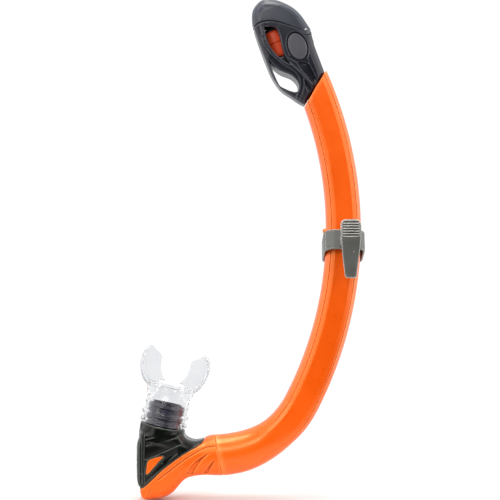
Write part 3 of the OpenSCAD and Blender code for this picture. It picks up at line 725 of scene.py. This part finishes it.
def dry_top_body():
    """The cage: sleeve over the tube, float chamber, duct and windows."""
    low = (-34, -20, -15)
    h, y, v = samples(low, (18, 20, 76), WIDE_STEP)
    body = head_space(h, y, v, 0, head_relief(h, v))
    body = common(body, seam_distance(h, v) + SEAM_GAP, 1)
    body = cut(body, rod(h, v, HEAD_PIN, KNUCKLE_R + 0.3), 0.5)
    # middle knuckle and the upstand that carries the port plate
    across = np.abs(y) - KNUCKLE_HALF
    knuckle = common(rod(h, v, HEAD_PIN, KNUCKLE_R), across, 0.6)
    web = np.maximum(np.maximum(np.abs(h - 10.5) - 3, np.abs(v - 44) - 6), across)
    body = join(body, np.maximum(np.minimum(knuckle, web), head_space(h, y, v)), 0.6)
    stand = np.maximum(rod(h, y, (FLOAT_AT, 0), 11), np.maximum(58 - v, v - 69.4))
    body = join(body, stand, 0.6)
    # hollow for the tube's spigot, the air duct, the float, the windows and the pin
    below = math.cos(SLEEVE_SLOPE) * v - math.sin(SLEEVE_SLOPE) * h - 0.15
    body = cut(body, below, 0.5)
    body = cut(body, np.maximum(rod(h, y, (UPPER_SPIGOT_X, 0), 10.05), v - 25))
    duct = np.maximum(np.maximum(np.abs(h - 2.2) - 6.2, np.abs(y) - 11), np.abs(v - 43) - 23)
    body = cut(body, duct, 1)
    chamber = np.maximum(rod(h, y, (FLOAT_AT, 0), FLOAT_CHAMBER_R), 36.9 - v)
    body = cut(body, chamber, 0.4)
    window = np.maximum(inside_distance(UPPER_WINDOW, h, v),
                        np.minimum(35.9 - v, 11.8 - np.abs(y)))
    body = cut(body, window, 1.6)
    body = cut(body, inside_distance(LOWER_WINDOW, h, v), 1.6)
    body = cut(body, rod(h, v, HEAD_PIN, PIN_HOLE_R), 0.2)
    seat = ellipse_distance(h, v, DISC_AT, (DISC_HALF[0] + 0.2, DISC_HALF[1] + 0.2))
    body = cut(body, np.maximum(seat, 14.9 - np.abs(y)), 0.5)
    return from_field("cage", body, low, HEAD, WIDE_STEP)


def dry_top_cap():
    """The cap: a crowned shell with two knuckles outside the cage's own."""
    low = (-34, -19.5, 41)
    h, y, v = samples(low, (18, 19.5, 93), WIDE_STEP)
    crown = np.hypot((h + 8) / 24, (v - 70) / 19)
    # face with a soft edge, and a rim band that lies lower round it
    rim = inside_distance(HEAD_OUTLINE, h, v) + np.interp(h, (-30, 10), (4.6, 2.4))
    band = 0.55 * smooth_step(-0.5, 0.5, rim) + 0.3 * np.exp(-(rim / 0.45) ** 2)
    outside = head_space(h, y, v, 0, 0.7 - 0.9 * np.minimum(crown, 1.2) ** 2 - band)
    cap = common(outside, SEAM_GAP - seam_distance(h, v), 1)
    cap = join(cap, np.maximum(rod(h, v, HEAD_PIN, KNUCKLE_R), outside), 0.4)
    cap = cut(cap, head_space(h, y, v, CAP_WALL), 0.4)
    ears = np.maximum(np.abs(np.abs(y) - 12.5) - 3.1, outside)
    cap = join(cap, np.maximum(rod(h, v, HEAD_PIN, 3.4), ears), 0.4)
    clear = np.maximum(rod(h, v, HEAD_PIN, KNUCKLE_R + 0.35), np.abs(y) - KNUCKLE_HALF - 0.4)
    cap = cut(cap, clear, 0.3)
    hole_r = np.where(np.abs(y) > 12.9, 1.1, PIN_HOLE_R)
    cap = cut(cap, rod(h, v, HEAD_PIN, hole_r), 0.2)
    return from_field("cap", cap, low, HEAD, WIDE_STEP)


settle(dry_top_body(), "snorkel", "head_grey", head_grey, "dry_top_body")
settle(dry_top_cap(), "cap", "head_grey", cap_grey, "dry_top_cap")


# share of the disc's half size, and distance from the head's middle plane
DISC_SHAPE = [(AXIS_R, 16.45), (0.5, 16.4), (0.8, 16.28), (0.93, 16.15), (0.97, 16.02),
              (0.99, 15.8), (0.99, 15.1), (0.9, 15.1), (AXIS_R, 15.1)]


def side_disc(name, side):
    """Slightly domed oval cover with a soft edge."""
    a = np.linspace(0, 2 * math.pi, 96, endpoint=False)
    rings = []
    for k, level in DISC_SHAPE:
        rings.append(np.stack([DISC_AT[0] + DISC_HALF[0] * k * np.cos(a),
                               np.full(len(a), side * level),
                               DISC_AT[1] + DISC_HALF[1] * k * np.sin(a)], 1))
    return loft(name, rings, HEAD, closed=False, smooth_angle=40)


for name, side in (("disc_front", -1), ("disc_back", 1)):
    settle(side_disc(name, side), "snorkel", "head_grey", disc_grey, "side_" + name)

RIVET = [(AXIS_R, -16.9), (0.6, -16.9), (0.9, -16.75), (1, -16.4), (1, -13), (1.45, -12.9),
         (1.45, 12.9), (1, 13), (1, 16.4), (0.9, 16.75), (0.6, 16.9),
         (AXIS_R, 16.9)]
PIN_FRAME = HEAD @ Matrix.Translation((HEAD_PIN[0], 0, HEAD_PIN[1]))
settle(turned("cap_pin", RIVET, PIN_FRAME, 32, closed=False, axis="y"),
       "snorkel", "steel", bright_steel, "cap_hinge_pin")

FLOAT_SHAPE = [(AXIS_R, 0.8), (5, 0.8), (5.6, 0), (7.4, 0), (8.8, 0.9), (9.45, 2.4),
               (9.6, 4), (9.6, 12.3), (9.3, 12.6), (9.3, 13.1), (9.6, 13.4), (9.6, 20.6),
               (9.4, 22.2), (8.8, 23.4), (7.8, 24), (2, 24), (2, 21.5), (AXIS_R, 21.5)]
FLOAT_FRAME = HEAD @ Matrix.Translation((FLOAT_AT, 0, FLOAT_LOW))
settle(turned("float_body", FLOAT_SHAPE, FLOAT_FRAME, closed=False),
       "float", "float_red", float_red, "float")


# ---- elbow and lower shell ----

ELBOW_TOP = curve([(-26.7, -42.6), (-23.4, -37.8), (0, -37.6), (10, -39.9), (12, -44),
                   (15, -46.8), (20.4, -48.3), (25.8, -47.6), (29.6, -46.2)], 4)
SHELL_TOP = curve([(29.6, -46.2), (33, -44.6), (38.4, -43.4), (43, -42.8), (80, -41)], 4)
SHELL_BOTTOM = curve([(80, -81), (49, -79.4), (38, -79.1), (27.3, -78.4), (16.9, -79.6),
                      (11.4, -82.3), (6.5, -87.6), (2, -92.6), (-3.4, -96.2), (-9.4, -98.3),
                      (-18.3, -99.2), (-24.6, -97.9), (-26.9, -91)], 4)
CASE_LINE = curve([(31.5, -41), (30.1, -44.2), (28.2, -48.1), (24.4, -51.4), (10.6, -58.9),
                   (-5.9, -71.1), (-18.1, -82.7), (-22.6, -86.8), (-26, -88.8), (-32, -91)], 5)
WHOLE_ELBOW = np.concatenate([ELBOW_TOP, SHELL_TOP[1:], SHELL_BOTTOM])
INLAY = curve([(-20.1, -75.6), (-20.3, -68.4), (-18.8, -63.6), (-15, -61.6), (-10.4, -60.2),
               (-5.9, -60), (-10.5, -65)], 4, True)
CREASES = [[(-21.8, -45.1), (-1.8, -40.6)], [(-21.8, -50.7), (6.5, -43.4)],
           [(-22.3, -63.2), (9.2, -49.2)], [(-22.6, -83.4), (-5.9, -64.2), (6.8, -56.5)],
           [(6.6, -42.5), (11.3, -49.4)]]
SHELL_GROOVE = curve([(42, -51.6), (38, -51.7), (29.8, -53.2), (21.6, -57.1), (13.3, -62.1),
                      (5, -68.1), (-3.3, -74.8), (-10.5, -80.2)], 5)
LEAVES = [curve([(34, -57), (27, -60.2), (20.2, -65.5), (16.4, -70), (13.6, -75.6),
                 (19.4, -76.6), (21.2, -72.6), (25.8, -65.5), (30.5, -60.6)], 4, True),
          curve([(38.6, -63.2), (35.6, -65.6), (32.6, -69), (28.6, -75), (32.6, -76),
                 (34.2, -72.6), (37, -67.6)], 4, True)]
PURGE_GROOVE = curve([(-23.2, -36), (-23.6, -60), (-23.4, -84)], 4)
FOOT_CREASE = curve([(-21, -95), (-16.3, -88.6)], 4)
PURGE_Z = -66.5  # height of the purge valve's axis
DUCT_R = 12  # of the tube's lower spigot


def neck_coords(x, z):
    """Distance from the neck's axis in the XZ plane, and height along it."""
    s, c = NECK_UP[0], NECK_UP[2]
    return x * c - z * s, x * s + z * c


def foot_coords(x, z):
    """Height above the duct's line, and distance from the tube's end along it."""
    m = np.array(DUCT)
    dx, dz = x - m[0, 3], z - m[2, 3]
    return dx * m[0, 0] + dz * m[2, 0], dx * m[0, 2] + dz * m[2, 2]


def above_case_line(x, z):
    """Signed distance to the line between casing and shell, positive above."""
    d, _ = line_distance(CASE_LINE, x, z)
    line = CASE_LINE[np.argsort(CASE_LINE[:, 0])]
    return np.where(z > np.interp(x, line[:, 0], line[:, 1]), d, -d)


def elbow_space(x, y, z, relief=0):
    """The elbow with its shell as one smooth body, before it is parted."""
    flat = inside_distance(WHOLE_ELBOW, x, z)
    half = np.minimum(np.interp(x, (-28, -10, 8, 35, 50), (17.2, 18.3, 18.3, 16.7, 16.5)),
                      np.interp(z, (-104, -84, -64), (12.5, 16.6, 18.4)))
    radius = np.minimum(np.interp(x, (-26, -14, 6, 24, 36, 50), (5, 8.5, 9, 13, 16.3, 16.4)),
                        half - 0.3)
    return slab(flat, y, half + relief, radius)


def elbow_relief(x, z):
    """Creases, the groove beside the purge plate, and a rim round the inlay."""
    out = 0
    for line in CREASES:
        # the side below stands proud of the crease, so its edge catches the light
        d, along = line_distance(curve(line, 6), x, z)
        (ax, az), (bx, bz) = line[0], line[-1]
        above = (bx - ax) * (z - az) - (bz - az) * (x - ax) > 0
        step = np.where(above, -0.55 * np.exp(-d / 2.2), 0.45 * np.exp(-d / 1.1))
        out = out + faded(along, 0.06) * step
    d, _ = line_distance(PURGE_GROOVE, x, z)
    out = out - 0.9 * np.exp(-(d / 0.5) ** 2)
    seat = inside_distance(INLAY, x, z)
    return out + 0.4 * np.exp(-((seat - 0.9) / 0.6) ** 2)


def elbow_body():
    """Black casing with the neck, its stub, the purge chamber and the duct to the tube."""
    low = (-28, -20.5, -93)
    x, y, z = samples(low, (32, 20.5, -18))
    u, w = neck_coords(x, z)
    side, along = foot_coords(x, z)
    casing = common(elbow_space(x, y, z, elbow_relief(x, z)), 0.2 - above_case_line(x, z), 0.7)
    up = z - PURGE_Z
    case_core = drum(y, up, 14.5, x, -9, 17)
    duct_core = drum(side, y, DUCT_R + 2, along, 20, 18)
    body = np.minimum(casing, np.maximum(np.minimum(case_core, duct_core), -25.8 - x))
    # collar, lug and the stub that the swivel ring turns on
    around = np.hypot(u, y)
    collar = common(around - 19.6, np.abs(w + 43) - 7.2, 1.2)
    body = join(body, collar, 2.4)
    lug = slab(np.maximum(np.abs(x + 24.3) - 2.6, np.abs(z + 41.2) - 8.4), y, 8.5, 1)
    body = join(body, lug, 1)
    body = np.minimum(body, common(around - 13.5, np.abs(w + 33) - 13, 0.5))
    body = np.minimum(body, common(around - 14.3, np.abs(w + 20.9) - 0.85, 0.6))
    # airway
    body = cut(body, np.maximum(around - 11.8, -52 - w), 0.4)
    body = cut(body, drum(y, up, 12.5, x, -10, 14.5))
    body = cut(body, np.maximum(np.hypot(y, up) - 13, x + 23.6))
    body = cut(body, drum(u, y, 11.5, w, -56, 10))
    body = cut(body, drum(side, y, DUCT_R, along, 8, 9), 0.3)
    body = cut(body, drum(side, y, DUCT_R - 2, along, 23, 23))
    seat = np.maximum(inside_distance(INLAY, x, z) - 0.15, 17.2 - np.abs(y))
    body = cut(body, seat, 0.3)
    return from_field("elbow", body, low, WORLD)


def lower_shell():
    """Orange shell under the casing, with its grooves and hollow leaves."""
    low = (-28, -20, -101)
    x, y, z = samples(low, (49, 20, -41))
    side, along = foot_coords(x, z)
    d, _ = line_distance(SHELL_GROOVE, x, z)
    relief = -1.1 * np.exp(-(d / 0.55) ** 2)
    for leaf in LEAVES:
        relief = relief - 1.7 * (1 - smooth_step(-1.2, 0.2, inside_distance(leaf, x, z)))
    relief = relief - 0.5 * ridge(FOOT_CREASE, x, z, 0.5, 0.1)
    seam = (END_AT[0] - x) * math.cos(SEAM_SLOPE) + (END_AT[2] - z) * math.sin(SEAM_SLOPE)
    shell = common(elbow_space(x, y, z, relief), 0.16 - seam, 0.7)
    shell = common(shell, above_case_line(x, z) + 0.12, 0.7)
    inside = np.maximum(elbow_space(x, y, z) + 2.6, above_case_line(x, z) + 2.4)
    shell = cut(shell, np.maximum(inside, x - 14), 0.5)
    shell = cut(shell, drum(side, y, 14.1, along, 20, 18.2))
    shell = cut(shell, drum(side, y, DUCT_R, along, 0, 4))
    shell = cut(shell, drum(y, z - PURGE_Z, 14.7, x, -9, 17.2))
    return from_field("shell", shell, low, WORLD)


def inlay(name, side):
    """Orange tile let into one side of the casing."""
    low = (-23, 16.4, -78)
    step = 0.25
    x, y, z = samples(low, (-3, 19.4, -57), step)
    piece = slab(inside_distance(INLAY, x, z) + 0.12, y - 17.75, 0.55, 0.4)
    obj = from_field(name, piece, low, Matrix.Diagonal((1, side, 1, 1)), step)
    if side < 0:
        obj.data.flip_normals()
    return obj


settle(elbow_body(), "snorkel", "elbow_black", elbow_black, "elbow_body")
settle(lower_shell(), "snorkel", "tube_orange", shell_orange, "lower_shell")
for end, side in (("front", -1), ("back", 1)):
    settle(inlay("inset_" + end, side), "snorkel", "tube_orange", shell_orange, "inlay_" + end)


def purge_cover():
    """Rounded plate over the purge valve, crowned, with slots and a rim."""
    low = (-33, -18.5, -93)
    step = 0.4
    x, y, z = samples(low, (-25, 18.5, -42), step)
    flat = corner(np.abs(y) - 6, np.abs(z + 66.4) - 12, 10.2)
    crown = 2.3 * (1 - np.clip(-flat / 9, 0, 1)) ** 2
    plate = common(flat, np.abs(x + 27.9 - crown * 0.5) - (2 - 0.5 * crown), 1.6)
    plate = cut(plate, np.maximum(np.hypot(y, z - PURGE_Z) - 13.5, -29 - x), 0.4)
    for i in range(-3, 4):
        half_slot = 9 - 1.4 * abs(i)
        past_end = np.maximum(np.abs(y) - half_slot, 0)
        plate = cut(plate, np.hypot(past_end, z - PURGE_Z - 4 * i) - 1, 0.5)
    return from_field("purge_plate", plate, low, WORLD, step)


settle(purge_cover(), "snorkel", "elbow_black", elbow_black, "purge_cover")


# ---- mouthpiece ----

HALF_FLANGE = [(12, -2.1), (20, -0.9), (24.6, 3.4), (27.8, 9.6), (29.2, 16.4), (28.9, 22.6),
               (26.8, 27.2), (23.6, 29.4)]
FLANGE = curve([(-x, z) for x, z in HALF_FLANGE[::-1]] + [(0, -2.5)] + HALF_FLANGE, 5)
TAB = curve([(23.6, 29.6), (26.8, 27.4), (28.9, 22.6), (29.2, 16.4), (27.8, 9.6), (24.6, 3.4),
             (18, -1.6), (8, -2.6), (4, -0.4), (8, 4.6), (10.6, 8.8), (12.2, 13.4),
             (12.8, 18), (12.8, 22), (14.6, 24.8), (17.4, 26.6), (19.4, 27.6), (21.2, 29.6)],
            4, True)

SLEEVE_R = 18.6  # outside of the sleeve round the swivel ring
SLEEVE_BORE = 16.1
BEADS = [(-26, 1.9), (-32.8, 1.9), (-17.6, 0.7)]  # height and radius


def mouthpiece():
    """Sleeve, funnel, flange and bite tabs as one soft moulding."""
    low = (-32, -22, -37)
    x, y, z = samples(low, (32, 22, 32), WIDE_STEP)
    around = np.hypot(x, y)
    # sleeve with two beads and a fine rim
    sleeve = common(around - SLEEVE_R, np.abs(z + 24.5) - 10.4, 0.8)
    for at, r in BEADS:
        sleeve = join(sleeve, rod(around, z, (18.8, at), r), 0.9)
    # funnel from the round sleeve to the low, wide port
    t = smooth_step(-16, -3.5, z)
    half_width, half_height = SLEEVE_R + 2.2 * t, SLEEVE_R - 6.4 * t
    funnel = (np.hypot(x / half_width, y / half_height) - 1) * half_height
    body = join(sleeve, np.maximum(funnel, np.abs(z + 9.5) - 6.3), 1.2)
    # curved flange with rounded corners
    d, along = line_distance(FLANGE, x, z)
    reach = 13.5 - 2.4 * smooth_step(0.8, 1, np.abs(along - 0.5) * 2)
    flange = common(d - 1.05, np.abs(y) - reach, 1.4)
    body = join(body, flange, 2.2)
    # bite tabs with low pips
    tab = slab(inside_distance(TAB, np.abs(x), z), y, 2.1, 1.5)
    pips = 0.35 * (np.cos(x * 1.9) * np.cos(z * 1.9)) ** 6
    body = join(body, tab - pips * (np.abs(y) > 1), 1.6)
    # airway, wide below and oval at the mouth
    inner = smooth_step(-17, -5, z)
    half_width, half_height = SLEEVE_BORE - 4.6 * inner, SLEEVE_BORE - 7.6 * inner
    bore = (np.hypot(x / half_width, y / half_height) - 1) * half_height
    body = cut(body, np.maximum(bore, z - 2.5), 0.8)
    return from_field("bite_piece", body, low, NECK, WIDE_STEP)


settle(mouthpiece(), "mouthpiece", "silicone", silicone, "mouthpiece")

RING_SHAPE = [(13.65, -35.2), (13.65, -22.2), (14.6, -21.9), (14.6, -18.8), (13.65, -18.5),
              (13.65, -17.3), (13.95, -16.8), (15.3, -16.7), (15.75, -16.9), (15.95, -17.4),
              (15.95, -19.2), (15.6, -19.5), (15.6, -20.3), (15.95, -20.6), (15.95, -28.2),
              (15.6, -28.5), (15.6, -29.6), (15.95, -29.9), (15.95, -35.2), (15.6, -35.6),
              (14, -35.6)]
settle(turned("turn_ring", RING_SHAPE, NECK), "mouthpiece", "head_grey", swivel_grey,
       "swivel_ring")


# ---- mask clip ----

LEVER = Matrix.Translation(joint_point("lever_press"))
COLLAR_AT = ARC_CENTRE + UPPER_R * heading(math.radians(-2.5))
COLLAR_TILT = math.radians(19)
COLLAR = Matrix.Translation(COLLAR_AT) @ Matrix.Rotation(-COLLAR_TILT, 4, "X")
LEVER_EAR_X = 5.1


def clip_collar():
    """Band round the tube, with two ears for the lever's pin."""
    low = (-20, -33, -13)
    step = 0.4
    x, y, z = samples(low, (20, 23, 23), step)
    outer = rounded_box(x, y, 18, 21, 9.5)
    inner = rounded_box(x, y, 16, 18.9, 8)
    band = common(np.maximum(outer, -inner), np.abs(z) - 9, 1.2)
    # ears either side of the lever's own, each with a root on the band
    pivot = np.array(COLLAR.inverted() @ Vector(joint_point("lever_press")))
    past_y, past_z = y - pivot[1], z - pivot[2]
    eye = np.hypot(past_y, past_z) - 3
    root = rounded_box(past_y - 4, past_z + 1, 5.5, 3, 1)
    ears = [common(np.abs(x - pivot[0] - side * 7.4) - 1, np.minimum(eye, root), 0.6)
            for side in (-1, 1)]
    outside = -rounded_box(x, y, 17, 19.9, 8)
    band = join(band, np.maximum(np.minimum(*ears), outside), 0.8)
    band = cut(band, np.hypot(past_y, past_z) - 1.3, 0.2)
    return from_field("collar", band, low, COLLAR, step)


def clip_lever():
    """Long curved lever with a ribbed pad, ears and a hole for its pin."""
    low = (-11, -13, -36)
    step = 0.28
    x, y, z = samples(low, (11, 7, 21), step)
    levels = (-34, -29, -17.4, -9, 0, 7.4, 12, 18.5)
    front = eased(z, levels, (-4.1, -3.3, -3.9, -5.2, -6.4, -6, -5.2, -3.2))
    thick = np.interp(z, levels, (1.3, 1.5, 2.4, 2.8, 3, 2.8, 2.6, 2.2))
    half = eased(z, levels, (5.4, 5.7, 6.9, 7.8, 8.6, 9, 9, 8.9))
    ends = np.maximum(z - 17.6, -33 - z)
    across = np.abs(x - 0.5)  # the plate stands a little to one side of its ears
    radius = np.interp(z, (-20, 5), (2.4, 4.8))
    flat = corner(across - half + radius, ends + radius, radius)
    crown = 0.9 * (across / half) ** 2
    sheet = np.maximum(front + crown - y, y - front - thick)
    body = common(flat, sheet, 1.3)
    # finger grooves across the top
    past_end = np.maximum(across - 6.4, 0)
    for i in range(6):
        at = 3.9 + 2.24 * i
        groove = np.hypot(past_end, np.hypot(z - at, y - front - crown * 0.4))
        body = cut(body, groove - 0.85, 0.25)
    # ears round the pin
    ear = np.minimum(np.hypot(y, z) - 2.8, np.maximum(np.abs(z) - 2.8, np.abs(y + 2.2) - 2.2))
    for side in (-1, 1):
        body = join(body, np.maximum(ear, np.abs(x - side * LEVER_EAR_X) - 0.8), 0.5)
    body = cut(body, np.hypot(y, z) - 1.35, 0.2)
    return from_field("lever", body, low, LEVER, step)


def swept(line, radius, sides=12):
    """Rings of a round wire along a line of points."""
    tangents = np.gradient(line, axis=0)
    tangents /= np.linalg.norm(tangents, axis=1)[:, None]
    normal = np.cross(tangents[0], (0.3, 0.5, 0.8))
    a = np.linspace(0, 2 * math.pi, sides, endpoint=False)[:, None]
    rings = []
    for p, t in zip(line, tangents):
        normal = normal - t * np.dot(normal, t)
        normal /= np.linalg.norm(normal)
        rings.append(p + radius * (np.cos(a) * normal + np.sin(a) * np.cross(t, normal)))
    return rings


def spring_line():
    """Leg on the collar, six turns round the pin, leg under the lever."""
    half, r = 2.6, 1.95
    turn = np.linspace(0, 12 * math.pi, 150)
    coil = np.stack([np.linspace(-half, half, len(turn)), r * np.cos(turn), r * np.sin(turn)], 1)
    first = np.linspace((-half, r, -7), (-half, r, -0.6), 8)
    last = np.linspace((half, r, 0.6), (half, -1.6, 6.5), 8)
    return np.concatenate([first, coil, last])


settle(clip_collar(), "clip", "clip_grey", clip_grey, "clip_collar")
settle(clip_lever(), "lever", "clip_grey", lever_grey, "clip_lever")
settle(loft("spring", swept(spring_line(), 0.36), LEVER, closed=False),
       "clip", "steel", bright_steel, "clip_spring")


# ---- CAD nodes that stay ----

KEPT = {"port_plate": head_grey, "float_seal": seal_rubber, "top_joint_seal": seal_rubber,
        "lower_joint_seal": seal_rubber, "clip_lever_pin": bright_steel,
        "purge_seat": elbow_black, "purge_membrane": seal_rubber}
for node, material in KEPT.items():
    mesh = frame["nodes"][node].data
    mesh.materials.clear()
    mesh.materials.append(material)


# ---- camera, floor and light ----

CAMERA_AT = (0.0691, -1.05, 0.1188)
HALF_VIEW = 0.22  # half of what the camera sees across the object
camera = linked("camera", bpy.data.cameras.new("camera"))
camera.data.angle = 2 * math.atan(HALF_VIEW / -CAMERA_AT[1])
camera.location = CAMERA_AT
camera.rotation_euler = (math.pi / 2, 0, 0)
bpy.context.scene.camera = camera


def plain_floor(radius, height):
    """Pale disc that fades out into the backdrop."""
    bpy.ops.mesh.primitive_circle_add(vertices=96, radius=radius, fill_type="NGON",
                                      location=(0.07, 0, height))
    floor = bpy.context.object
    floor.name = "floor"
    material, tree, shader = nodes_for("floor_paper")
    place = add(tree, "TexCoord").outputs["Object"]
    length = add(tree, "VectorMath", {0: place}, operation="LENGTH").outputs["Value"]
    feed(shader, {"Base Color": (0.7, 0.7, 0.7), "Roughness": 0.9,
                  "Alpha": spread(tree, length, 1, 0, 0.3 * radius, radius)})
    floor.data.materials.append(material)


LIGHT_AIM = Vector((0.08, 0, 0.12))
LIGHT_COLOUR = (1, 0.955, 0.89)


def soft_light(name, location, power, wide, tall):
    """Rectangle of light, aimed at the object's middle."""
    light = bpy.data.lights.new(name, "AREA")
    light.energy = power
    light.color = LIGHT_COLOUR
    light.shape = "RECTANGLE"
    light.size = wide
    light.size_y = tall
    obj = linked(name, light)
    obj.location = location
    aim = LIGHT_AIM - Vector(location)
    obj.rotation_euler = aim.to_track_quat("-Z", "Y").to_euler()


# strength of the tent's walls
TENT_FRONT, TENT_BACK, TENT_SIDES, TENT_TOP = 0.05, 0.93, 0.3, 0.5


def studio_world():
    """White backdrop for the camera; for the object a tent that is brightest at the back."""
    world = bpy.data.worlds.new("studio")
    bpy.context.scene.world = world
    world.use_nodes = True
    tree = world.node_tree
    tree.nodes.clear()
    direction = add(tree, "TexCoord").outputs["Generated"]
    x, y, z = add(tree, "SeparateXYZ", {0: direction}).outputs

    def maths(operation, *values):
        """Result of a maths node."""
        return add(tree, "Math", dict(enumerate(values)), operation=operation).outputs[0]

    back = spread(tree, y, TENT_FRONT, TENT_BACK, -0.7, 0.3)
    sides = spread(tree, maths("ABSOLUTE", x), 0, TENT_SIDES, 0.72, 0.9)
    above = spread(tree, z, 0, TENT_TOP, 0.35, 0.9)
    strength = maths("ADD", maths("ADD", back, sides), above)
    tent = add(tree, "Background", {"Color": (0.97, 0.985, 1), "Strength": strength})
    backdrop = add(tree, "Background", {"Color": (1, 1, 1), "Strength": 1.05})
    seen = add(tree, "LightPath").outputs["Is Camera Ray"]
    mix = add(tree, "MixShader", {0: seen, 1: tent.outputs[0], 2: backdrop.outputs[0]})
    add(tree, "OutputWorld", {0: mix.outputs[0]})


studio_world()
plain_floor(0.27, float(cad_box[0][2]) - 0.0012)
soft_light("left", (-0.85, -0.85, 0.45), 4, 0.45, 1.2)
soft_light("right", (0.98, -0.85, 0.45), 4.8, 0.45, 1.2)
soft_light("left_edge", (-1.2, 0, 0.2), 4.6, 1.3, 1.5)
soft_light("right_edge", (1.35, 0, 0.2), 9, 1.3, 1.5)
soft_light("top", (0, -0.1, 1.2), 11, 0.6, 0.6)
soft_light("front", (-0.2, -1.4, 0.9), 5, 0.5, 0.5)
soft_light("fill", (-0.62, -1.2, 0.5), 3.2, 0.4, 0.4)
bpy.context.scene.view_settings.view_transform = "Standard"
